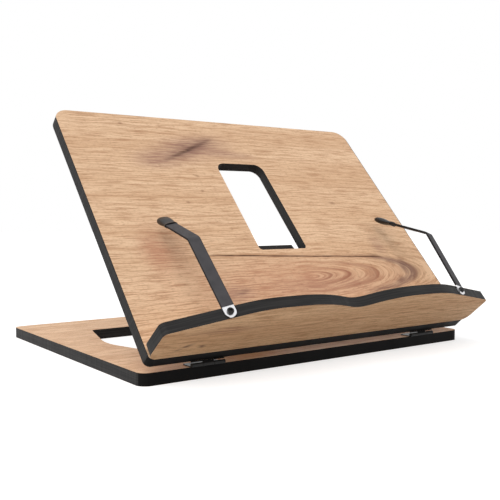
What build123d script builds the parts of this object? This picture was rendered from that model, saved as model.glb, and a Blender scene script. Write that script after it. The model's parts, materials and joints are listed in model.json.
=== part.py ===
from build123d import *
from math import atan, cos, degrees, pi, radians, sin, tan
import os

# Cookbook stand: a base board, a tilting panel with a ledge for the book, a prop leg that folds
# into the panel's window, and two swinging page clips. Millimetres, +X to the right of the reader,
# +Y to the back, +Z up. The origin is the middle of the base board's underside.

# Boards
board = 9.8
base_width = 350.0
base_depth = 275.0
base_corner = 8.5
panel_width = 345.5
panel_height = 264.0
panel_top_corner = 14.0
panel_bottom_corner = 5.0
panel_tilt = 47.84

# Cut-outs of the base, one each side of the bridge that carries the leg
rail = 66.0
bridge_width = 90.0
cutout_back_reach = 119.7
cutout_side_reach = 141.3
cutout_side_y = -5.5
cutout_front_reach = 122.8
cutout_side_round = 67.0
cutout_front_round = 24.0
cutout_back_round = 6.0
cutout_bridge_round = 8.0

# Grooves that the leg's foot drops into
groove_count = 3
groove_pitch = 14.0
groove_width = 6.0
groove_depth = 3.0
groove_length = 62.0

# Window of the panel
window_width = 54.0
window_bottom = 96.1
window_top = 204.4
window_top_corner = 9.5
window_bottom_corner = 3.5

# Ledge, seen from above: an open book's outline. It leans a little past square to the panel.
ledge_width = 349.0
ledge_lean = 1.8
ledge_depth = 53.8
ledge_tip_depth = 32.9
ledge_tip_corner = 4.5
ledge_slant = 0.27
ledge_shoulder_round = 135.0
ledge_dip = 9.9
ledge_dip_run = 62.0
ledge_dip_round = 35.0
ledge_back_corner = 10.0

# Butt hinges: barrel, pin and leaves of folded sheet
barrel_radius = 1.6
pin_radius = 0.8
leaf_thickness = 0.8
leaf_width = 13.0
leaf_corner = 1.5
leaf_free_edge = 2.0
knuckle_count = 3
knuckle_gap = 0.3
running_gap = 0.05
base_hinge_length = 30.0
base_hinge_x = 119.0
leg_hinge_length = 40.0
pin_forward = 1.6
panel_setback = 2.6

# Prop leg
leg_width = 52.0
leg_pivot_height = 101.4
leg_end_gap = 1.2
leg_foot_corner = 6.0
foot_round = 1.5
foot_clearance = 0.25
fold_ratio = 2.09

# Countersunk screws and dowels. What is hidden in the boards has few sides.
hidden_sides = 12
hinge_screw_head = 1.9
hinge_screw_shank = 1.1
hinge_screw_length = 8.2
hinge_screw_inset = 6.0
hinge_screw_row = 8.3
ledge_screw_head = 3.5
ledge_screw_shank = 1.75
ledge_screw_length = 38.0
ledge_screw_x = (-152.0, -52.0, 52.0, 152.0)
dowel_radius = 3.0
dowel_in_panel = 7.0
dowel_in_ledge = 21.0
dowel_x = (-90.0, 0.0, 90.0)
screw_gap = 0.05

# Page clips: a bent steel strip in a sleeve, with a soft cap
clip_x = 125.5
clip_swing = {"left": -2.7, "right": -6.6}
strip_width = 9.2
strip_thickness = 1.0
arm_length = 67.2
arm_bend = 38.0
arm_bend_radius = 5.0
arm_upper = 67.5
strip_in_cap = 15.0
sleeve_wall = 0.4
sleeve_bevel = 0.5
sleeve_start = 4.8
cap_length = 23.5
cap_width = 12.0
cap_tip_radius = 3.0
cap_mouth_thickness = 3.8
cap_plan_corner = 5.8
cap_edge_bevel = 1.3
washer_radius = 4.0
washer_thickness = 0.7
face_gap = 0.1
clip_screw_shank = 1.5
clip_screw_depth = 14.0
clip_head_radius = 2.6
clip_head_height = 1.7
clip_head_bevel = 0.5
clip_socket_width = 2.5
clip_socket_depth = 1.0

os.makedirs("parts", exist_ok=True)

# Directions of the tilted panel: up its face, and out of its face
right = Vector(1, 0, 0)
tilt = radians(panel_tilt)
up_panel = Vector(0, cos(tilt), sin(tilt))
out_panel = Vector(0, -sin(tilt), cos(tilt))

# The panel's hinge pin, and the middle of the panel's lower front edge
tilt_pin = Vector(0, -base_depth / 2 - pin_forward, board + barrel_radius)
panel_foot = tilt_pin + up_panel * panel_setback + out_panel * (barrel_radius + board)

# The leg's hinge pin, the leg's directions at rest, and the length that brings its foot to the base
leg_pin = tilt_pin + up_panel * (panel_setback + leg_pivot_height)
leg_slope = radians((fold_ratio - 1) * panel_tilt)
down_leg = Vector(0, cos(leg_slope), -sin(leg_slope))
out_leg = Vector(0, sin(leg_slope), cos(leg_slope))
foot_axis_above_base = board + foot_clearance + foot_round
leg_drop = leg_pin.Z + (barrel_radius + foot_round) * cos(leg_slope) - foot_axis_above_base
leg_length = leg_drop / sin(leg_slope) + foot_round
foot_axis = leg_pin + down_leg * (leg_length - foot_round) + out_leg * (barrel_radius + foot_round)

# Directions of the leaning ledge: through its thickness, and out to its front edge
lean = radians(ledge_lean)
up_ledge = up_panel * cos(lean) + out_panel * sin(lean)
out_ledge = out_panel * cos(lean) - up_panel * sin(lean)

panel_face = Plane(origin=panel_foot, x_dir=right, z_dir=out_panel)
panel_back = Plane(origin=panel_foot - out_panel * board, x_dir=-right, z_dir=-out_panel)
ledge_top = Plane(origin=panel_foot + up_ledge * board, x_dir=right, z_dir=-up_ledge)
leg_side = Plane(origin=leg_pin, x_dir=down_leg, z_dir=right)
leg_face = Plane(origin=leg_pin, x_dir=right, z_dir=out_leg)

# The screw of each page clip stands on the slanted end of the ledge's front edge
slant_angle = atan(ledge_slant)
clip_depth = ledge_tip_depth + ledge_slant * (ledge_width / 2 - clip_x)
strip_back = washer_thickness + face_gap
strip_front = strip_back + strip_thickness
cap_mouth = arm_upper - cap_length


def place(plane, x, y, z=0.0):
    """The same plane moved to a point given in its own coordinates."""
    return Plane(origin=plane.from_local_coords(Vector(x, y, z)), x_dir=plane.x_dir, z_dir=plane.z_dir)


def save(part, name):
    """Label a finished piece and write its file."""
    part.label = name
    export_step(part, f"parts/{name}.step")


def countersunk(plane, head, shank, length, gap=0.0):
    """A countersunk screw with its head level with the plane. With a gap, it is the screw's hole."""
    sink = (head - shank) * cos(pi / hidden_sides)
    with BuildPart() as screw:
        with BuildSketch(plane):
            RegularPolygon(head + gap, hidden_sides)
        extrude(amount=-sink, taper=45)
        with BuildSketch(plane.offset(-sink)):
            RegularPolygon(shank + gap, hidden_sides)
        extrude(amount=sink - length - gap)
    return screw.part


def peg(plane, radius, start, end):
    """A dowel or a screw's shank along the plane's Z. With a larger radius, it is the hole."""
    with BuildPart() as body:
        with BuildSketch(plane.offset(start)):
            RegularPolygon(radius, hidden_sides)
        extrude(amount=end - start)
    return body.part


def hinge_screw(plane, gap=0.0):
    return countersunk(plane, hinge_screw_head, hinge_screw_shank, hinge_screw_length, gap)


def ledge_screw(plane, gap=0.0):
    return countersunk(plane, ledge_screw_head, ledge_screw_shank, ledge_screw_length, gap)


def leaf_screw_planes(pin_plane, length):
    """Where the two screws of a leaf stand, level with the leaf's upper face."""
    height = leaf_thickness - barrel_radius
    span = length / 2 - hinge_screw_inset
    return [place(pin_plane, side * span, hinge_screw_row, height) for side in (-1, 1)]


def hinge_leaf(pin_plane, length, first_knuckle):
    """One leaf of a butt hinge. Its plane has X along the pin and Y along the leaf."""
    pitch = length / knuckle_count
    knuckle = pitch - knuckle_gap
    starts = [pitch * (index - knuckle_count / 2) for index in range(first_knuckle, knuckle_count, 2)]
    across = Plane(origin=pin_plane.origin, x_dir=pin_plane.y_dir, z_dir=pin_plane.x_dir)
    with BuildPart() as leaf:
        with BuildSketch(place(pin_plane, 0, 0, -barrel_radius)):
            with Locations((0, leaf_free_edge)):
                Rectangle(length, leaf_width - leaf_free_edge, align=(Align.CENTER, Align.MIN))
            fillet(vertices().group_by(Axis.Y)[-1], leaf_corner)
            for start in starts:
                with Locations((start + pitch / 2, 0)):
                    Rectangle(knuckle, leaf_free_edge, align=(Align.CENTER, Align.MIN))
        extrude(amount=leaf_thickness)
        for start in starts:
            with BuildSketch(place(across, 0, 0, start + knuckle_gap / 2)):
                Circle(barrel_radius)
            extrude(amount=knuckle)
        with BuildSketch(across):
            RegularPolygon(pin_radius + running_gap, hidden_sides, major_radius=False)
        extrude(amount=length, both=True, mode=Mode.SUBTRACT)
        for plane in leaf_screw_planes(pin_plane, length):
            add(hinge_screw(plane, screw_gap), mode=Mode.SUBTRACT)
    return leaf.part


def hinge_pin(pin_plane, length):
    """The pin, with its ends just inside the outer knuckles."""
    with BuildPart() as pin:
        with BuildSketch(Plane(origin=pin_plane.origin, x_dir=pin_plane.y_dir, z_dir=pin_plane.x_dir)):
            Circle(pin_radius)
        extrude(amount=length / 2 - knuckle_gap, both=True)
    return pin.part


sides = {"left": -1, "right": 1}

# Planes of the hinges: X along the pin, Y along the leaf, Z from the leaf to the pin
base_hinge_planes = {
    name: Plane(origin=tilt_pin + right * side * base_hinge_x, x_dir=right, z_dir=(0, 0, 1))
    for name, side in sides.items()
}
panel_hinge_planes = {
    name: Plane(origin=plane.origin, x_dir=-right, z_dir=-out_panel)
    for name, plane in base_hinge_planes.items()
}
leg_hinge_on_panel = Plane(origin=leg_pin, x_dir=right, z_dir=-out_panel)
leg_hinge_on_leg = Plane(origin=leg_pin, x_dir=-right, z_dir=-out_leg)

base_screw_planes = []
for hinge_plane in base_hinge_planes.values():
    base_screw_planes += leaf_screw_planes(hinge_plane, base_hinge_length)
panel_screw_planes = []
for hinge_plane in panel_hinge_planes.values():
    panel_screw_planes += leaf_screw_planes(hinge_plane, base_hinge_length)
leg_panel_screw_planes = leaf_screw_planes(leg_hinge_on_panel, leg_hinge_length)
leg_screw_planes = leaf_screw_planes(leg_hinge_on_leg, leg_hinge_length)
ledge_screw_planes = [place(panel_back, x, board / 2) for x in ledge_screw_x]
dowel_planes = [place(panel_face, x, board / 2) for x in dowel_x]


def clip_screw_plane(name):
    """On the ledge's slanted edge face, with Z out of it and Y along the swung arm."""
    side = sides[name]
    outward = right * side * sin(slant_angle) + out_ledge * cos(slant_angle)
    inward = out_ledge * sin(slant_angle) - right * side * cos(slant_angle)
    swing = radians(clip_swing[name])
    arm = up_ledge * cos(swing) + inward * sin(swing)
    origin = panel_foot + right * side * clip_x + up_ledge * (board / 2) + out_ledge * clip_depth
    return Plane(origin=origin, x_dir=arm.cross(outward), z_dir=outward)


# Base board, with its cut-outs and grooves
with BuildPart() as base_board:
    with BuildSketch():
        RectangleRounded(base_width, base_depth, base_corner)
        for side in sides.values():
            with BuildLine():
                FilletPolyline(
                    (side * bridge_width / 2, rail - base_depth / 2),
                    (side * cutout_front_reach, rail - base_depth / 2),
                    (side * cutout_side_reach, cutout_side_y),
                    (side * cutout_back_reach, base_depth / 2 - rail),
                    (side * bridge_width / 2, base_depth / 2 - rail),
                    radius=(
                        cutout_bridge_round,
                        cutout_front_round,
                        cutout_side_round,
                        cutout_back_round,
                        cutout_bridge_round,
                    ),
                    close=True,
                )
            make_face(mode=Mode.SUBTRACT)
    extrude(amount=board)
    with BuildSketch(Plane.XY.offset(board)):
        with Locations((0, foot_axis.Y)):
            with GridLocations(0, groove_pitch, 1, groove_count):
                SlotOverall(groove_length, groove_width)
    extrude(amount=-groove_depth, mode=Mode.SUBTRACT)
    for plane in base_screw_planes:
        add(hinge_screw(plane, screw_gap), mode=Mode.SUBTRACT)
save(base_board.part, "base_board")

# Back panel, with its window
with BuildPart() as back_panel:
    with BuildSketch(panel_face):
        Rectangle(panel_width, panel_height, align=(Align.CENTER, Align.MIN))
        fillet(vertices().group_by(Axis.Y)[-1], panel_top_corner)
        fillet(vertices().group_by(Axis.Y)[0], panel_bottom_corner)
        with BuildLine():
            FilletPolyline(
                (-window_width / 2, window_bottom),
                (window_width / 2, window_bottom),
                (window_width / 2, window_top),
                (-window_width / 2, window_top),
                radius=(window_bottom_corner, window_bottom_corner, window_top_corner, window_top_corner),
                close=True,
            )
        make_face(mode=Mode.SUBTRACT)
    extrude(amount=-board)
    for plane in panel_screw_planes + leg_panel_screw_planes:
        add(hinge_screw(plane, screw_gap), mode=Mode.SUBTRACT)
    for plane in ledge_screw_planes:
        add(ledge_screw(plane, screw_gap), mode=Mode.SUBTRACT)
    for plane in dowel_planes:
        add(peg(plane, dowel_radius + screw_gap, -dowel_in_panel, 1), mode=Mode.SUBTRACT)
save(back_panel.part, "back_panel")

# Ledge: half its front edge is drawn from the dip in the middle to the tip, then mirrored
dip_angle = 2 * atan(ledge_dip / ledge_dip_run)
dip_shoulder_round = ledge_dip_run / sin(dip_angle) - ledge_dip_round
shoulder_drop = ledge_shoulder_round * (1 - cos(slant_angle))
slant_end_x = ledge_width / 2 - (ledge_depth - shoulder_drop - ledge_tip_depth) / ledge_slant
shoulder_x = slant_end_x - ledge_shoulder_round * sin(slant_angle)
with BuildPart() as ledge:
    with BuildSketch(ledge_top):
        with BuildLine():
            dip = JernArc((0, ledge_depth - ledge_dip), (1, 0), ledge_dip_round, degrees(dip_angle))
            rise = JernArc(dip @ 1, dip % 1, dip_shoulder_round, -degrees(dip_angle))
            flat = Line(rise @ 1, (shoulder_x, ledge_depth))
            shoulder = JernArc(flat @ 1, (1, 0), ledge_shoulder_round, -degrees(slant_angle))
            Polyline(shoulder @ 1, (ledge_width / 2, ledge_tip_depth), (ledge_width / 2, -1), (0, -1))
            mirror(about=Plane.YZ)
        make_face()
        fillet(vertices().group_by(Axis.Y)[0], ledge_back_corner)
        fillet(vertices().group_by(Axis.X)[0].sort_by(Axis.Y)[-1], ledge_tip_corner)
        fillet(vertices().group_by(Axis.X)[-1].sort_by(Axis.Y)[-1], ledge_tip_corner)
    extrude(amount=board)
    split(bisect_by=panel_face, keep=Keep.TOP)
    for plane in ledge_screw_planes:
        add(ledge_screw(plane, screw_gap), mode=Mode.SUBTRACT)
    for plane in dowel_planes:
        add(peg(plane, dowel_radius + screw_gap, -1, dowel_in_ledge), mode=Mode.SUBTRACT)
    for name in sides:
        hole = peg(clip_screw_plane(name), clip_screw_shank + screw_gap, -clip_screw_depth, 1)
        add(hole, mode=Mode.SUBTRACT)
save(ledge.part, "ledge")

# Fixings of the ledge: screws from behind the panel, and dowels between them
with BuildPart() as ledge_screws:
    for plane in ledge_screw_planes:
        add(ledge_screw(plane))
save(ledge_screws.part, "ledge_screws")

with BuildPart() as ledge_dowels:
    for plane in dowel_planes:
        add(peg(plane, dowel_radius, screw_gap - dowel_in_panel, dowel_in_ledge - screw_gap))
save(ledge_dowels.part, "ledge_dowels")

# Hinges between the base and the panel
for name in sides:
    save(hinge_leaf(base_hinge_planes[name], base_hinge_length, 0), f"{name}_hinge_base_leaf")
    save(hinge_leaf(panel_hinge_planes[name], base_hinge_length, 1), f"{name}_hinge_panel_leaf")
    save(hinge_pin(base_hinge_planes[name], base_hinge_length), f"{name}_hinge_pin")

with BuildPart() as hinge_base_screws:
    for plane in base_screw_planes:
        add(hinge_screw(plane))
save(hinge_base_screws.part, "hinge_base_screws")

with BuildPart() as hinge_panel_screws:
    for plane in panel_screw_planes:
        add(hinge_screw(plane))
save(hinge_panel_screws.part, "hinge_panel_screws")

# Hinge between the panel and the prop leg
save(hinge_leaf(leg_hinge_on_panel, leg_hinge_length, 0), "leg_hinge_panel_leaf")
save(hinge_leaf(leg_hinge_on_leg, leg_hinge_length, 1), "leg_hinge_leg_leaf")
save(hinge_pin(leg_hinge_on_panel, leg_hinge_length), "leg_hinge_pin")

with BuildPart() as leg_hinge_panel_screws:
    for plane in leg_panel_screw_planes:
        add(hinge_screw(plane))
save(leg_hinge_panel_screws.part, "leg_hinge_panel_screws")

with BuildPart() as leg_hinge_leg_screws:
    for plane in leg_screw_planes:
        add(hinge_screw(plane))
save(leg_hinge_leg_screws.part, "leg_hinge_leg_screws")

# Prop leg: its side view with the rounded foot, cut to its outline
with BuildPart() as prop_leg:
    with BuildSketch(leg_side):
        with BuildLine():
            FilletPolyline(
                (leg_end_gap, barrel_radius),
                (leg_length, barrel_radius),
                (leg_length, barrel_radius + board),
                (leg_end_gap, barrel_radius + board),
                radius=(0, foot_round, 0, 0),
                close=True,
            )
        make_face()
    extrude(amount=leg_width / 2, both=True)
    with BuildSketch(leg_face):
        Rectangle(leg_width, leg_length, align=(Align.CENTER, Align.MIN))
        fillet(vertices().group_by(Axis.Y)[-1], leg_foot_corner)
    extrude(amount=board + 2 * barrel_radius, mode=Mode.INTERSECT)
    for plane in leg_screw_planes:
        add(hinge_screw(plane, screw_gap), mode=Mode.SUBTRACT)
save(prop_leg.part, "prop_leg")


def clip_side_plane(screw_plane):
    """Through the strip's middle, with X to the panel and Y up the arm."""
    middle = place(screw_plane, 0, 0, (strip_back + strip_front) / 2)
    return Plane(origin=middle.origin, x_dir=-screw_plane.z_dir, z_dir=screw_plane.x_dir)


def clip_route(side_plane, start, end):
    """The strip's middle line, from a height above the screw to a distance past the bend."""
    bend_run = arm_bend_radius * tan(radians(arm_bend / 2))
    with BuildLine(side_plane) as route:
        arm = Line((0, start), (0, arm_length - bend_run))
        bend = JernArc(arm @ 1, arm % 1, arm_bend_radius, -arm_bend)
        PolarLine(bend @ 1, end - bend_run, 90 - arm_bend)
    return route.wire()


def clip_strip(screw_plane):
    """The steel strip: round about the screw, up the arm, and over to the page."""
    side_plane = clip_side_plane(screw_plane)
    route = clip_route(side_plane, 0, cap_mouth + strip_in_cap)
    with BuildPart() as strip:
        with BuildSketch(Plane(origin=route @ 0, x_dir=side_plane.z_dir, z_dir=route % 0)):
            Rectangle(strip_width, strip_thickness)
        sweep(path=route)
        with BuildSketch(place(screw_plane, 0, 0, strip_back)):
            Circle(strip_width / 2)
        extrude(amount=strip_thickness)
        with BuildSketch(place(screw_plane, 0, 0, strip_back)):
            Circle(clip_screw_shank + running_gap)
        extrude(amount=strip_thickness, mode=Mode.SUBTRACT)
    return strip.part


def clip_sleeve(screw_plane):
    """The soft sleeve over the strip, from just above the screw to the cap."""
    side_plane = clip_side_plane(screw_plane)
    route = clip_route(side_plane, sleeve_start, cap_mouth - face_gap)
    inner_width = strip_width + 2 * running_gap
    inner_thickness = strip_thickness + 2 * running_gap
    with BuildPart() as sleeve:
        with BuildSketch(Plane(origin=route @ 0, x_dir=side_plane.z_dir, z_dir=route % 0)):
            Rectangle(strip_width + 2 * sleeve_wall, strip_thickness + 2 * sleeve_wall)
            chamfer(vertices(), sleeve_bevel)
            Rectangle(inner_width, inner_thickness, mode=Mode.SUBTRACT)
        sweep(path=route)
    return sleeve.part


def clip_cap(screw_plane):
    """The soft cap: thin at its mouth, round and thick at the end that holds the page."""
    side_plane = clip_side_plane(screw_plane)
    bend = radians(arm_bend)
    upper = Plane(
        origin=side_plane.from_local_coords(Vector(0, arm_length, 0)),
        x_dir=side_plane.x_dir * cos(bend) - side_plane.y_dir * sin(bend),
        z_dir=side_plane.z_dir,
    )
    plan = Plane(origin=upper.origin, x_dir=upper.z_dir, z_dir=-upper.x_dir)
    with BuildPart() as cap:
        with BuildSketch(upper):
            with BuildLine():
                Line((-cap_mouth_thickness / 2, cap_mouth), (cap_mouth_thickness / 2, cap_mouth))
                CenterArc((0, arm_upper - cap_tip_radius), cap_tip_radius, 0, 360)
            make_hull()
        extrude(amount=cap_width / 2, both=True)
        long_sides = faces().filter_by(Axis(upper.origin, upper.z_dir))
        chamfer(long_sides.edges(), cap_edge_bevel)
        with BuildSketch(plan):
            with Locations((0, cap_mouth)):
                Rectangle(cap_width, cap_length, align=(Align.CENTER, Align.MIN))
            fillet(vertices().group_by(Axis.Y)[-1], cap_plan_corner)
        extrude(amount=2 * cap_tip_radius, both=True, mode=Mode.INTERSECT)
        with BuildSketch(upper):
            with Locations((0, cap_mouth)):
                pocket = (strip_thickness + 2 * running_gap, strip_in_cap + running_gap)
                Rectangle(*pocket, align=(Align.CENTER, Align.MIN))
        extrude(amount=strip_width / 2 + running_gap, both=True, mode=Mode.SUBTRACT)
    return cap.part


def clip_screw(screw_plane):
    """A round-headed screw with a hexagon socket, which the strip swings on."""
    with BuildPart() as screw:
        with BuildSketch(place(screw_plane, 0, 0, strip_front + face_gap)):
            Circle(clip_head_radius)
        extrude(amount=clip_head_height)
        chamfer(edges().sort_by(Axis(screw_plane.origin, screw_plane.z_dir))[-1], clip_head_bevel)
        with BuildSketch(place(screw_plane, 0, 0, strip_front + face_gap + clip_head_height)):
            RegularPolygon(clip_socket_width / 2, 6, major_radius=False)
        extrude(amount=-clip_socket_depth, mode=Mode.SUBTRACT)
        add(peg(screw_plane, clip_screw_shank, screw_gap - clip_screw_depth, strip_front + face_gap))
    return screw.part


def clip_washer(screw_plane):
    """The washer that keeps the strip off the wood."""
    with BuildPart() as washer:
        with BuildSketch(screw_plane):
            Circle(washer_radius)
            Circle(clip_screw_shank + running_gap, mode=Mode.SUBTRACT)
        extrude(amount=washer_thickness)
    return washer.part


for name in sides:
    plane = clip_screw_plane(name)
    save(clip_strip(plane), f"{name}_clip_strip")
    save(clip_sleeve(plane), f"{name}_clip_sleeve")
    save(clip_cap(plane), f"{name}_clip_cap")
    save(clip_screw(plane), f"{name}_clip_screw")
    save(clip_washer(plane), f"{name}_clip_washer")
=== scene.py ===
import json
from math import cos, pi, radians, sin
import bmesh
import bpy
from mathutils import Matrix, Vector


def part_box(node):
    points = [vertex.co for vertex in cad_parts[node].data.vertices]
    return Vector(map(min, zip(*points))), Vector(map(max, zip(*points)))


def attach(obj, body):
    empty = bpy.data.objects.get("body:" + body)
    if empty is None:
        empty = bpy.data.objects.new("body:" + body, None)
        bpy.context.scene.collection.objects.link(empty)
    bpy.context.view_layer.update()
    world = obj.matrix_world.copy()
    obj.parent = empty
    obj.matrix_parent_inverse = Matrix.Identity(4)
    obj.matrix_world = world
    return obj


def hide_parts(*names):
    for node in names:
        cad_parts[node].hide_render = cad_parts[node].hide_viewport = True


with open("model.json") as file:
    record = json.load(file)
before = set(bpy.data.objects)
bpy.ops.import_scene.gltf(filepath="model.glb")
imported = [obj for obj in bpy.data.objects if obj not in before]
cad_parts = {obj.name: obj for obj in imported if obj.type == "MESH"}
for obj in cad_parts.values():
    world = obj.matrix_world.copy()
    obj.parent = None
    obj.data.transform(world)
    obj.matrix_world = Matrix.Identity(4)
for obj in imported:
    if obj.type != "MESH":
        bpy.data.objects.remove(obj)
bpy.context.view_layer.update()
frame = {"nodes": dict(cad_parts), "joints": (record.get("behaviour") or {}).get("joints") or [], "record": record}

# The looks of a folding cookbook stand: oak boards with black edges, black hinges, two page clips
# of bright steel in grey sleeves, and the light and camera of a studio picture. Metres, with +X to
# the right of the reader, +Y to the back and +Z up.

nodes = frame["nodes"]
joints = {joint["name"]: joint for joint in frame["joints"]}

# The boards: their thickness, the pins that they turn on and their slopes at rest
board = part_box("base_board")[1].z
tilt = radians(47.84)
tilt_pin = Vector(joints["panel_tilt"]["pos_m"])
leg_pin = Vector(joints["leg_fold"]["pos_m"])
barrel_radius = tilt_pin.z - board
fold_ratio = -frame["record"]["behaviour"]["couplings"][0]["ratio"]
leg_slope = tilt * (fold_ratio - 1)
ledge_lean = radians(1.8)
panel_setback = 0.0026


def up_board(angle):
    """The direction up a board that is turned up from the table by an angle."""
    return Vector((0, cos(angle), sin(angle)))


def out_board(angle):
    """The direction out of that board's face."""
    return Vector((0, -sin(angle), cos(angle)))


panel_foot = tilt_pin + up_board(tilt) * panel_setback + out_board(tilt) * (barrel_radius + board)


def tone(red, green, blue):
    """A colour written as a screen shows it, 0 to 255, as the shader needs it: by the sRGB curve."""
    parts = [part / 255 for part in (red, green, blue)]
    return tuple(p / 12.92 if p <= 0.04045 else ((p + 0.055) / 1.055) ** 2.4 for p in parts) + (1.0,)


# Between which two values a noise fades from one state to the other
even_span = (0.3, 0.7)
wear_span = (0.35, 0.7)


class Graph:
    """A material's nodes, with short calls for those that the materials share."""

    def __init__(self, name, **sockets):
        self.material = bpy.data.materials.new(name)
        self.material.use_nodes = True
        self.tree = self.material.node_tree
        self.shader = self.tree.nodes["Principled BSDF"]
        for socket, value in sockets.items():
            self.shader.inputs[socket.replace("_", " ")].default_value = value

    def node(self, kind, **settings):
        made = self.tree.nodes.new(kind)
        for name, value in settings.items():
            setattr(made, name, value)
        return made

    def feed(self, socket, value):
        """Link a socket to another node's output, or set its value."""
        if isinstance(value, bpy.types.NodeSocket):
            self.tree.links.new(value, socket)
        else:
            socket.default_value = value

    def math(self, operation, *values):
        made = self.node("ShaderNodeMath", operation=operation)
        for socket, value in zip(made.inputs, values):
            self.feed(socket, value)
        return made.outputs[0]

    def times(self, first, second):
        return self.math("MULTIPLY", first, second)

    def plus(self, first, second):
        return self.math("ADD", first, second)

    def vectors(self, operation, *values):
        """Work on vectors: the result is a number for a dot product or a length."""
        made = self.node("ShaderNodeVectorMath", operation=operation)
        for socket, value in zip(made.inputs, values):
            self.feed(socket, value)
        return made.outputs["Value" if operation in ("DOT_PRODUCT", "LENGTH") else "Vector"]

    def vector(self, x, y, z=0.0):
        made = self.node("ShaderNodeCombineXYZ")
        for socket, value in zip(made.inputs, (x, y, z)):
            self.feed(socket, value)
        return made.outputs[0]

    def noise(self, place, scale=1.0, detail=2.0, roughness=0.5):
        made = self.node("ShaderNodeTexNoise")
        self.feed(made.inputs["Vector"], place)
        made.inputs["Scale"].default_value = scale
        made.inputs["Detail"].default_value = detail
        made.inputs["Roughness"].default_value = roughness
        return made.outputs["Fac"]

    def figure(self, first, second, scales, seed, **settings):
        """Noise over two measures, each with a scale of its own."""
        place = self.vector(self.times(first, scales[0]), self.times(second, scales[1]), seed)
        return self.noise(place, **settings)

    def waver(self, noise, size):
        """A noise, which has its middle at a half, as a length to both sides of zero."""
        return self.times(self.plus(noise, -0.5), size)

    def band(self, value, low, high, to_low=0.0, to_high=1.0):
        """Carry a range of values over to another, smoothly and never past its ends."""
        made = self.node("ShaderNodeMapRange", interpolation_type="SMOOTHSTEP")
        for socket, entry in zip(made.inputs, (value, low, high, to_low, to_high)):
            self.feed(socket, entry)
        return made.outputs[0]

    def mix(self, amount, first, second):
        made = self.node("ShaderNodeMix", data_type="RGBA")
        colours = [socket for socket in made.inputs if socket.type == "RGBA"]
        for socket, value in zip([made.inputs[0], *colours], (amount, first, second)):
            self.feed(socket, value)
        return next(socket for socket in made.outputs if socket.type == "RGBA")

    def spot(self, place, x, y, reach_x, reach_y, angle=0.0):
        """A soft oval: 1 in its middle and 0 at its rim."""
        made = self.node("ShaderNodeMapping", vector_type="TEXTURE")
        self.feed(made.inputs["Vector"], place)
        made.inputs["Location"].default_value = (x, y, 0)
        made.inputs["Rotation"].default_value = (0, 0, angle)
        made.inputs["Scale"].default_value = (reach_x, reach_y, 1)
        return self.band(self.vectors("LENGTH", made.outputs[0]), 1.0, 0.0)

    def bump(self, height, distance):
        made = self.node("ShaderNodeBump")
        made.inputs["Strength"].default_value = 1.0
        made.inputs["Distance"].default_value = distance
        self.feed(made.inputs["Height"], height)
        self.feed(self.shader.inputs["Normal"], made.outputs[0])

    def place(self):
        """Where a point of the piece is while the stand is at rest."""
        return self.node("ShaderNodeTexCoord").outputs["Object"]

    def colour(self, value):
        self.feed(self.shader.inputs["Base Color"], value)

    def roughness(self, noise, low, high):
        """Let the roughness follow a noise, between two levels."""
        self.feed(self.shader.inputs["Roughness"], self.band(noise, *even_span, low, high))


# Oak: tones of the wood, of its marks and painted shadows and of the painted edges, with a darker edge tone for
# painted shade
oak_light = tone(236, 201, 166)
oak_middle = tone(216, 177, 141)
oak_line = tone(176, 132, 99)
oak_rose = tone(190, 136, 108)
oak_russet = tone(146, 94, 74)
oak_mauve = tone(156, 117, 104)
oak_smoke = tone(128, 96, 84)
oak_crack = tone(62, 40, 34)
oak_pore = tone(152, 112, 86)
edge_black = tone(50, 49, 48)
edge_streak = tone(38, 37, 37)
# Painted shade: the black of the edges at the foot of a board, darker where shade falls
edge_painted_shade = tone(12, 11, 11)

# The size of its figure. Scales are per metre: along and up the board for the sway and the ripple
# of the rings, across the rings and along the board for the rest, and on all three axes for the
# plies. The two seeds are added to the board's own.
ring_pitch = 0.0058
ring_waver = 2.2
sway_scales = (3.0, 9.0)
sway_size = 0.012
ripple_scales = (24.0, 70.0)
ripple_size = 0.0034
ripple_seed = 5
wide_scales = (70.0, 3.0)
streak_scales = (820.0, 38.0)
streak_detail = 4.0
streak_roughness = 0.62
pore_length = 0.0040
pore_width = 0.00040
pore_scales = (1 / pore_width, 1 / pore_length)
pore_detail = 1.0
patch_scales = (120.0, 8.0)
patch_seed = 9
ply_scales = (25.0, 25.0, 1400.0)

# Where each part of the figure fades in, and from what to what where that isn't 0 and 1
wide_span = (0.25, 0.8)
streak_span = (0.46, 0.62, 0.0, 0.66)
pore_span = (0.56, 0.7, 0.0, 0.45)
patch_span = (0.35, 0.7)
mark_span = (0.3, 0.65, 0.35, 1.0)
ply_span = (0.35, 0.65)
line_start = 0.45
line_peak = 0.88
line_end = 1.0
line_share = 0.5
russet_share = 0.75

# The crack: its waver, its dark core and paler stain in half widths, how long its ends take to
# fade in and out, and the paler gaps along it
crack_waver = 0.0016
crack_core = 0.2
crack_stain = 3.5
crack_stain_share = 0.55
crack_fade_in = 0.04
crack_fade_out = 0.02
crack_gap_scale = 60.0
crack_gap_span = (0.3, 0.6, 0.6, 1.0)

# The surface: the thickness of a face's skin of wood, its gloss and its relief
face_skin = 0.00006
oak_gloss = 0.07
oak_roughness = (0.44, 0.58)
oak_relief = 0.00006
pore_relief = -0.6
streak_relief = 0.4


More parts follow.
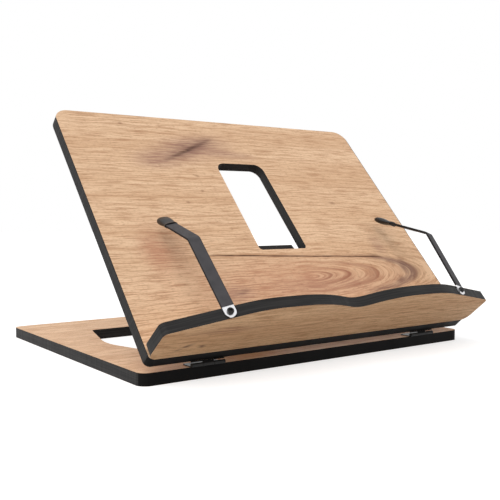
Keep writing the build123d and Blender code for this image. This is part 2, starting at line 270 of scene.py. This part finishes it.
def cracked(graph, colour, crack, along, height, ripple, marked, seed):
    """The colour with a crack drawn in it."""
    crack_line = graph.plus(graph.times(along, crack["fall"]), crack["height"])
    above_crack = graph.math("SUBTRACT", graph.plus(height, graph.waver(ripple, crack_waver)), crack_line)
    off_crack = graph.math("ABSOLUTE", above_crack)
    core = graph.band(off_crack, crack["half"], crack["half"] * crack_core)
    stain = graph.band(off_crack, crack["half"] * crack_stain, 0.0, 0.0, crack_stain_share)
    begun = graph.band(along, crack["start"], crack["start"] + crack_fade_in)
    unended = graph.band(along, crack["end"], crack["end"] - crack_fade_out)
    reach = graph.times(graph.times(begun, unended), marked)
    colour = graph.mix(graph.times(stain, reach), colour, oak_line)
    gaps = graph.noise(graph.vector(graph.times(along, crack_gap_scale), 0.0, seed))
    broken = graph.band(gaps, *crack_gap_span)
    return graph.mix(graph.times(graph.times(core, reach), broken), colour, oak_crack)


def oak(name, foot, up, out, seed, heart, marks_and_painted_shadows=(), marked_side=1.0, arch=None, crack=None,
        painted_warm_light=None, rim=None, painted_shade_height=None):
    """Oak on both faces of a board and satin black on its edges. The foot is the point that the
    board is measured from, in the middle of its thickness. The heart (place along the board, height
    and taper) is where the rings close into arches. The marks, among them painted shadows, the arch
    and the crack are on one side: the one that the board's out direction is on, or with a marked
    side of -1 the other. The arch is one dark ring, from where it begins to where it is full along
    the board, and an oval of russet lines. The crack is its ends along the board, its height in the
    middle, its fall and half its width. The painted warm light is a tint for the warm light on the
    ledge's underside, the rim is how far from the middle the black of the side edges begins, and the
    painted shade height is the height below which the black is darkened as painted shade."""
    graph = Graph(name, Specular_IOR_Level=oak_gloss)
    from_foot = graph.vectors("SUBTRACT", graph.place(), foot)
    along = graph.vectors("DOT_PRODUCT", from_foot, (1, 0, 0))
    height = graph.vectors("DOT_PRODUCT", from_foot, up)
    depth = graph.vectors("DOT_PRODUCT", from_foot, out)
    flat = graph.vector(along, height)
    marked = graph.math("GREATER_THAN", graph.times(depth, marked_side), 0.0)

    # The rings: how far a point is from the heart, on a slightly wavy board
    sway = graph.figure(along, height, sway_scales, seed)
    ripple = graph.figure(along, height, ripple_scales, seed + ripple_seed)
    lift = graph.plus(graph.waver(sway, sway_size), graph.waver(ripple, ripple_size))
    heart_x, heart_height, taper = heart
    rise = graph.plus(graph.plus(height, lift), -heart_height)
    cone = graph.math("MAXIMUM", graph.times(graph.plus(along, -heart_x), taper), 0.0)
    ring = graph.math("SQRT", graph.plus(graph.times(rise, rise), graph.times(cone, cone)))

    # The figure that follows the rings: wide bands, fine streaks, pores and a line at each ring's end
    wide = graph.figure(ring, along, wide_scales, seed)
    streak = graph.figure(ring, along, streak_scales, seed, detail=streak_detail, roughness=streak_roughness)
    pores = graph.figure(ring, along, pore_scales, seed, detail=pore_detail)
    saw = graph.math("FRACT", graph.plus(graph.times(ring, 1 / ring_pitch), graph.times(wide, ring_waver)))
    saw_line = graph.times(graph.band(saw, line_start, line_peak), graph.band(saw, line_end, line_peak))
    patches = graph.figure(ring, along, patch_scales, seed + patch_seed)
    line = graph.times(saw_line, graph.band(patches, *patch_span))
    colour = graph.mix(graph.band(wide, *wide_span), oak_light, oak_middle)
    colour = graph.mix(graph.band(streak, *streak_span), colour, oak_line)
    colour = graph.mix(graph.times(line, line_share), colour, oak_line)

    rough_marks_and_shadows = graph.times(graph.band(streak, *mark_span), marked)
    # The marks, with the painted shadows of the clips' caps among them
    for shade, amount, *oval in marks_and_painted_shadows:
        spot = graph.times(graph.spot(flat, *oval), rough_marks_and_shadows)
        colour = graph.mix(graph.times(spot, amount), colour, shade)
    colour = graph.mix(graph.band(pores, *pore_span), colour, oak_pore)
    if arch:
        inside = graph.times(graph.spot(flat, *arch["russet"]), marked)
        colour = graph.mix(graph.times(graph.times(inside, saw_line), russet_share), colour, oak_russet)
        off_arch = graph.math("ABSOLUTE", graph.plus(ring, -arch["ring"]))
        begun = graph.band(along, arch["begins"], arch["full"])
        dark_ring = graph.times(graph.band(off_arch, arch["half"], 0.0), begun)
        dark_ring = graph.times(graph.times(dark_ring, rough_marks_and_shadows), arch["amount"])
        colour = graph.mix(dark_ring, colour, oak_smoke)
    if crack:
        colour = cracked(graph, colour, crack, along, height, ripple, marked, seed)
    # Painted light: a warm tint that lowers green and blue over the whole board, for the warm light that falls on
    # the ledge's underside
    if painted_warm_light:
        colour = graph.vectors("MULTIPLY", colour, painted_warm_light)

    # The cut edges, the window, the grooves and the holes are black
    off_middle = graph.math("ABSOLUTE", depth)
    face = graph.math("GREATER_THAN", off_middle, board / 2 - face_skin)
    if rim:
        within = graph.math("LESS_THAN", graph.math("ABSOLUTE", along), rim)
        face = graph.times(face, within)
    measures = zip((along, height, depth), ply_scales)
    plies = graph.vector(*[graph.times(measure, scale) for measure, scale in measures])
    edge = graph.mix(graph.band(graph.noise(plies), *ply_span), edge_black, edge_streak)
    # Painted shade: below this height the black of the edges (the base's front edge, the panel's bottom edge) is
    # darker, for the shade that falls there
    if painted_shade_height is not None:
        below = graph.math("LESS_THAN", height, painted_shade_height)
        edge = graph.mix(below, edge, edge_painted_shade)
    graph.colour(graph.mix(face, edge, colour))
    graph.roughness(streak, *oak_roughness)
    graph.bump(graph.plus(graph.times(pores, pore_relief), graph.times(streak, streak_relief)), oak_relief)
    return graph.material


# Each mark: its colour and amount, then an oval's place along and up the board, its half length
# and half height, and its turn where it has one. The ovals by the clips' caps are painted shadow.
panel_marks_and_painted_shadows = [
    (oak_rose, 0.75, 0.0, 0.060, 0.19, 0.042),
    # Painted shadow of the left clip's cap, as a rose oval
    (oak_rose, 0.60, -0.120, 0.100, 0.040, 0.050),
    (oak_mauve, 0.40, 0.03, 0.052, 0.12, 0.018),
    (oak_mauve, 1.00, -0.048, 0.222, 0.070, 0.026, 0.25),
    (oak_smoke, 0.80, -0.046, 0.224, 0.048, 0.014, 0.40),
    (oak_mauve, 0.75, -0.092, 0.205, 0.036, 0.018),
    (oak_mauve, 0.60, -0.006, 0.217, 0.046, 0.011, -0.1),
    (oak_crack, 0.95, -0.051, 0.2205, 0.047, 0.0034, 0.48),
    (oak_smoke, 0.90, -0.032, 0.231, 0.024, 0.0055, 0.45),
    (oak_smoke, 0.60, -0.070, 0.210, 0.020, 0.0050, 0.30),
    # Painted shadow of the left clip's cap, its darkest part, as a rose oval
    (oak_rose, 0.85, -0.131, 0.097, 0.020, 0.030),
    (oak_mauve, 0.80, -0.074, 0.050, 0.030, 0.014),
    (oak_smoke, 0.75, -0.066, 0.052, 0.012, 0.0040, 0.2),
    # Painted shadow of the right clip's cap, as a mauve oval
    (oak_mauve, 0.50, 0.119, 0.096, 0.014, 0.020),
    (oak_smoke, 0.95, 0.137, 0.069, 0.009, 0.015),
    (oak_smoke, 0.70, 0.123, 0.053, 0.018, 0.005, 0.30),
    (oak_smoke, 0.55, 0.088, 0.045, 0.030, 0.0045, 0.20),
    (oak_smoke, 0.60, 0.126, 0.0785, 0.012, 0.004, -0.40),
    (oak_crack, 0.80, 0.106, 0.083, 0.012, 0.004, -0.15),
    (oak_pore, 0.80, -0.111, 0.252, 0.004, 0.003),
    (oak_pore, 0.70, -0.089, 0.1985, 0.003, 0.0025),
    (oak_pore, 0.80, -0.078, 0.153, 0.0035, 0.0028),
    (oak_pore, 0.85, 0.092, 0.153, 0.007, 0.003, -0.2),
    (oak_pore, 0.80, -0.055, 0.186, 0.004, 0.003),
    (oak_pore, 0.80, -0.057, 0.167, 0.003, 0.0025),
]
ledge_marks = [
    (oak_smoke, 0.95, -0.147, 0.014, 0.0085, 0.0032, 0.4),
    (oak_crack, 0.85, -0.148, 0.0135, 0.004, 0.0016, 0.4),
    (oak_smoke, 0.95, -0.134, 0.011, 0.0055, 0.0032),
    (oak_crack, 0.85, -0.134, 0.011, 0.0022, 0.0013),
    (oak_smoke, 0.75, -0.154, 0.009, 0.005, 0.0018, 0.3),
    (oak_mauve, 0.45, -0.120, 0.030, 0.05, 0.008),
]
up_ledge = up_board(tilt + ledge_lean)
out_ledge = out_board(tilt + ledge_lean)
down_leg = up_board(-leg_slope)
out_leg = out_board(-leg_slope)
materials = {
    "base_board": oak(
        "base_oak",
        foot=Vector((0, 0, board / 2)),
        up=up_board(0),
        out=out_board(0),
        seed=3.0,
        heart=(-0.3, 0.02, 0.02),
        # Painted shade on the base's front edge
        painted_shade_height=-0.1320,
    ),
    "back_panel": oak(
        "panel_oak",
        foot=panel_foot - out_board(tilt) * board / 2,
        up=up_board(tilt),
        out=out_board(tilt),
        seed=11.0,
        heart=(0.016, 0.064, 0.19),
        marks_and_painted_shadows=panel_marks_and_painted_shadows,
        crack={"start": -0.096, "end": 0.120, "height": 0.0879, "fall": -0.051, "half": 0.0010},
        arch={"ring": 0.0243, "half": 0.0030, "amount": 0.95, "begins": 0.06, "full": 0.115,
              "russet": (0.070, 0.062, 0.085, 0.027)},
        rim=0.1722,
        # Painted shade on the panel's bottom edge
        painted_shade_height=0.0035,
    ),
    "ledge": oak(
        "ledge_oak",
        foot=panel_foot + up_ledge * board / 2,
        up=out_ledge,
        out=up_ledge,
        seed=27.0,
        heart=(-0.05, -0.02, 0.05),
        marks_and_painted_shadows=ledge_marks,
        marked_side=-1.0,
        # Painted light: the warm light on the ledge's underside, as a tint
        painted_warm_light=(1.0, 0.92, 0.80),
    ),
    "prop_leg": oak(
        "leg_oak",
        foot=leg_pin + out_leg * (barrel_radius + board / 2),
        up=down_leg,
        out=out_leg,
        seed=41.0,
        heart=(-0.3, 0.0, 0.03),
    ),
}

# Steel and coatings: the scales per metre of the steel's fine lines, how far the roughness varies,
# and how much coarser the wear of a coating is than its grain
steel_across = 900.0
steel_along = 40.0
steel_spread = 0.2
steel_relief = 0.00002
grain_detail = 3.0
wear_coarseness = 25
coating_spread = 0.15


def steel(name, light, dark, roughness, along):
    """Rolled bright steel, with fine lines along a direction."""
    graph = Graph(name, Metallic=1.0)
    stretch = [steel_across - (steel_across - steel_along) * abs(part) for part in along]
    lines = graph.noise(graph.vectors("MULTIPLY", graph.place(), stretch))
    graph.colour(graph.mix(graph.band(lines, *even_span), light, dark))
    graph.roughness(lines, roughness * (1 - steel_spread), roughness * (1 + steel_spread))
    graph.bump(lines, steel_relief)
    return graph.material


def coated(name, light, dark, roughness, grain, relief, **sockets):
    """A surface with a fine even grain: turned wood, blackened steel or rubber."""
    graph = Graph(name, **sockets)
    place = graph.place()
    fine = graph.noise(place, grain, grain_detail)
    wear = graph.noise(place, grain / wear_coarseness)
    graph.colour(graph.mix(graph.band(wear, *wear_span), light, dark))
    graph.roughness(fine, roughness * (1 - coating_spread), roughness * (1 + coating_spread))
    graph.bump(fine, relief)
    return graph.material


slot_materials = {
    "beech": coated(
        "beech",
        light=tone(205, 170, 130),
        dark=tone(186, 148, 108),
        roughness=0.6,
        grain=900.0,
        relief=0.00004,
    ),
    "zinc_steel": steel(
        "zinc_steel",
        light=tone(215, 215, 218),
        dark=tone(180, 180, 184),
        roughness=0.3,
        along=(1, 0, 0),
    ),
    "black_steel": coated(
        "black_steel",
        light=tone(24, 23, 23),
        dark=tone(16, 15, 15),
        roughness=0.38,
        grain=2600.0,
        relief=0.00002,
        Specular_IOR_Level=0.25,
    ),
    "clip_steel": steel(
        "clip_steel",
        light=tone(238, 238, 240),
        dark=tone(214, 214, 217),
        roughness=0.26,
        along=(0, 0.7, 0.7),
    ),
    "cap_rubber": coated(
        "cap_rubber",
        light=tone(22, 21, 22),
        dark=tone(15, 15, 16),
        roughness=0.34,
        grain=1500.0,
        relief=0.00003,
        Specular_IOR_Level=0.35,
    ),
}

# The page clips: the swing of each at rest, and their run from the screw over the bend
clip_sides = {"left": -1, "right": 1}
clip_swing = {"left": radians(-2.7), "right": radians(-6.6)}
strip_middle = 0.0013
arm_length = 0.0672
arm_bend = radians(38)


def clip_directions(name):
    """The directions out of the ledge's edge, up the clip's arm and across its strip."""
    outward = Vector(joints[f"{name}_clip_swing"]["axis"]) * clip_sides[name]
    inward = up_ledge.cross(outward) * -clip_sides[name]
    arm = up_ledge * cos(clip_swing[name]) + inward * sin(clip_swing[name])
    return {"outward": outward, "arm": arm, "across": arm.cross(outward)}


# Their sleeves: how far from the middle the flat reaches and how soon the painted shade of the edge
# sets in, the tones (the edge tone is painted shade), and the scales and relief of the grain
sleeve_flat = 0.0044
sleeve_fade = 0.0003
sleeve_light = tone(70, 68, 70)
sleeve_dark = tone(60, 59, 61)
sleeve_edge_shade = tone(22, 21, 22)
sleeve_gloss = 0.15
sleeve_roughness = (0.54, 0.70)
sleeve_grain = 1800.0
sleeve_wear = 90.0
sleeve_relief = 0.00004


def sleeve(name):
    """Grey shrink sleeve: lighter on the flat of the strip, with painted shade darkening it over its edges."""
    graph = Graph(f"{name}_sleeve", Specular_IOR_Level=sleeve_gloss)
    screw = Vector(joints[f"{name}_clip_swing"]["pos_m"])
    across = clip_directions(name)["across"]
    from_screw = graph.vectors("SUBTRACT", graph.place(), screw)
    off_middle = graph.math("ABSOLUTE", graph.vectors("DOT_PRODUCT", from_screw, across))
    painted_shade_on_edge = graph.band(off_middle, sleeve_flat, sleeve_flat + sleeve_fade)
    fine = graph.noise(from_screw, sleeve_grain, grain_detail)
    wear = graph.noise(from_screw, sleeve_wear)
    flat = graph.mix(graph.band(wear, *wear_span), sleeve_light, sleeve_dark)
    # Painted shade: the sleeve is darkened over the strip's edges, which face away from the light
    graph.colour(graph.mix(painted_shade_on_edge, flat, sleeve_edge_shade))
    graph.roughness(fine, *sleeve_roughness)
    graph.bump(fine, sleeve_relief)
    return graph.material


for name in clip_sides:
    materials[f"{name}_clip_sleeve"] = sleeve(name)


def dress(node, material):
    """Give a piece of the stand one material all over."""
    mesh = nodes[node].data
    for index in range(len(mesh.materials)):
        mesh.materials[index] = material
    if not mesh.materials:
        mesh.materials.append(material)


for row in frame["record"]["subparts"]:
    node = row["node"]
    dress(node, materials[node] if node in materials else slot_materials[row["material_slot"]])


# The page clips' soft caps: flat where they grip the strip, and a rounded end that holds the page.
# The mouth and the ball are a half width and a half thickness.
cap_start = 0.0440
cap_length = 0.0232
cap_mouth = (0.0052, 0.0017)
cap_ball = (0.0058, 0.0030)
cap_swell = 0.62
cap_squareness = 2.5
cap_lip = 0.0004
cap_lip_length = 0.0016
cap_stations = 30
cap_sides = 40


def cap_section(reach):
    """The cap's half width and half thickness at a distance from its mouth."""
    swell = cap_length * cap_swell
    if reach > swell:
        round_end = max(0.0, 1 - ((reach - swell) / (cap_length - swell)) ** 2) ** 0.5
        return [size * round_end for size in cap_ball]
    ease = (1 - cos(pi * reach / swell)) / 2
    lip = cap_lip * max(0.0, 1 - (reach / cap_lip_length) ** 2) ** 0.5
    return [low + (high - low) * ease + lip for low, high in zip(cap_mouth, cap_ball)]


def squared(value):
    """A cosine or sine, pushed out so that the oval is fuller than an ellipse."""
    return abs(value) ** (2 / cap_squareness) * (1 if value >= 0 else -1)


def soft_cap(name):
    """One cap: rings of vertices along the strip, closed at both ends."""
    outward, arm, across = clip_directions(name).values()
    upper = arm * cos(arm_bend) - outward * sin(arm_bend)
    thick = across.cross(upper)
    screw = Vector(joints[f"{name}_clip_swing"]["pos_m"])
    mouth = screw + outward * strip_middle + arm * arm_length + upper * cap_start
    mesh = bpy.data.meshes.new(f"{name}_soft_cap")
    shape = bmesh.new()
    rings = []
    for station in range(cap_stations):
        reach = cap_length * sin(pi / 2 * station / cap_stations)
        half_width, half_thickness = cap_section(reach)
        ring = []
        for step in range(cap_sides):
            turn = 2 * pi * step / cap_sides
            sideways = across * half_width * squared(cos(turn))
            offset = sideways + thick * half_thickness * squared(sin(turn))
            ring.append(shape.verts.new(mouth + upper * reach + offset))
        rings.append(ring)
    for first, second in zip(rings, rings[1:]):
        for step in range(cap_sides):
            following = (step + 1) % cap_sides
            shape.faces.new((first[step], first[following], second[following], second[step]))
    shape.faces.new(reversed(rings[0]))
    tip = shape.verts.new(mouth + upper * cap_length)
    for step in range(cap_sides):
        shape.faces.new((rings[-1][step], rings[-1][(step + 1) % cap_sides], tip))
    bmesh.ops.recalc_face_normals(shape, faces=shape.faces)

    # Only the mouth is flat
    for face in shape.faces:
        face.smooth = len(face.verts) < cap_sides
    shape.to_mesh(mesh)
    shape.free()
    mesh.materials.append(slot_materials["cap_rubber"])
    piece = bpy.data.objects.new(f"{name}_soft_cap", mesh)
    bpy.context.scene.collection.objects.link(piece)
    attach(piece, f"{name}_clip")
    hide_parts(f"{name}_clip_cap")


for name in clip_sides:
    soft_cap(name)

# The floor, white to the camera but for the stand's soft shadow
floor_radius = 4.0
floor_sides = 64
floor_mesh = bpy.data.meshes.new("floor")
shape = bmesh.new()
bmesh.ops.create_circle(shape, cap_ends=True, segments=floor_sides, radius=floor_radius)
shape.to_mesh(floor_mesh)
shape.free()
floor = bpy.data.objects.new("floor", floor_mesh)
bpy.context.scene.collection.objects.link(floor)


def seen_directly(tree):
    """1 for the rays of the camera, of glossy surfaces and of clear ones, and 0 for other light."""
    path = tree.nodes.new("ShaderNodeLightPath")
    total = path.outputs["Is Camera Ray"]
    for name in ("Is Glossy Ray", "Is Transmission Ray"):
        joined = tree.nodes.new("ShaderNodeMath")
        joined.operation = "MAXIMUM"
        tree.links.new(total, joined.inputs[0])
        tree.links.new(path.outputs[name], joined.inputs[1])
        total = joined.outputs[0]
    return total


def grey(share):
    """An even grey, given by the share of the light that it sends back."""
    return (share, share, share, 1)


floor_bounce = 0.55
floor_glow = 0.66
paper_scale = 3.0
paper_shade = 0.96
white = grey(1)
ground = Graph("floor_paper", Specular_IOR_Level=0.0, Roughness=1.0)
paper = ground.noise(ground.place(), paper_scale)
ground.colour(ground.mix(paper, grey(floor_bounce), grey(floor_bounce * paper_shade)))
ground.shader.inputs["Emission Color"].default_value = white
ground.feed(ground.shader.inputs["Emission Strength"], ground.times(seen_directly(ground.tree), floor_glow))
floor_mesh.materials.append(ground.material)

# The light: a white surrounding, and a broad soft lamp from the upper left
ambient = 0.46
world = bpy.data.worlds.new("studio")
bpy.context.scene.world = world
world.use_nodes = True
around = world.node_tree.nodes["Background"]
around.inputs["Color"].default_value = white
level = world.node_tree.nodes.new("ShaderNodeMapRange")
world.node_tree.links.new(seen_directly(world.node_tree), level.inputs["Value"])
level.inputs["To Min"].default_value = ambient
level.inputs["To Max"].default_value = 1.0
world.node_tree.links.new(level.outputs[0], around.inputs["Strength"])

key_strength = 0.83 * pi
key_from = Vector((-0.66, -0.24, 0.71))
key_width = radians(75)
lamp = bpy.data.lights.new("key", "SUN")
lamp.energy = key_strength
lamp.angle = key_width
key = bpy.data.objects.new("key", lamp)
key.rotation_euler = key_from.to_track_quat("Z", "Y").to_euler()
bpy.context.scene.collection.objects.link(key)

# The camera: where it stands, and how far it looks down and is turned to the right, in radians
camera_place = (-0.4245, -0.6161, 0.1260)
camera_down = 0.0509
camera_turn = 0.6255
lens = bpy.data.cameras.new("camera")
lens.sensor_width = 36.0
lens.lens = 54.28
lens.clip_start = 0.01
camera = bpy.data.objects.new("camera", lens)
camera.location = camera_place
camera.rotation_euler = (pi / 2 - camera_down, 0, -camera_turn)
bpy.context.scene.collection.objects.link(camera)
bpy.context.scene.camera = camera
bpy.context.scene.view_settings.view_transform = "Standard"
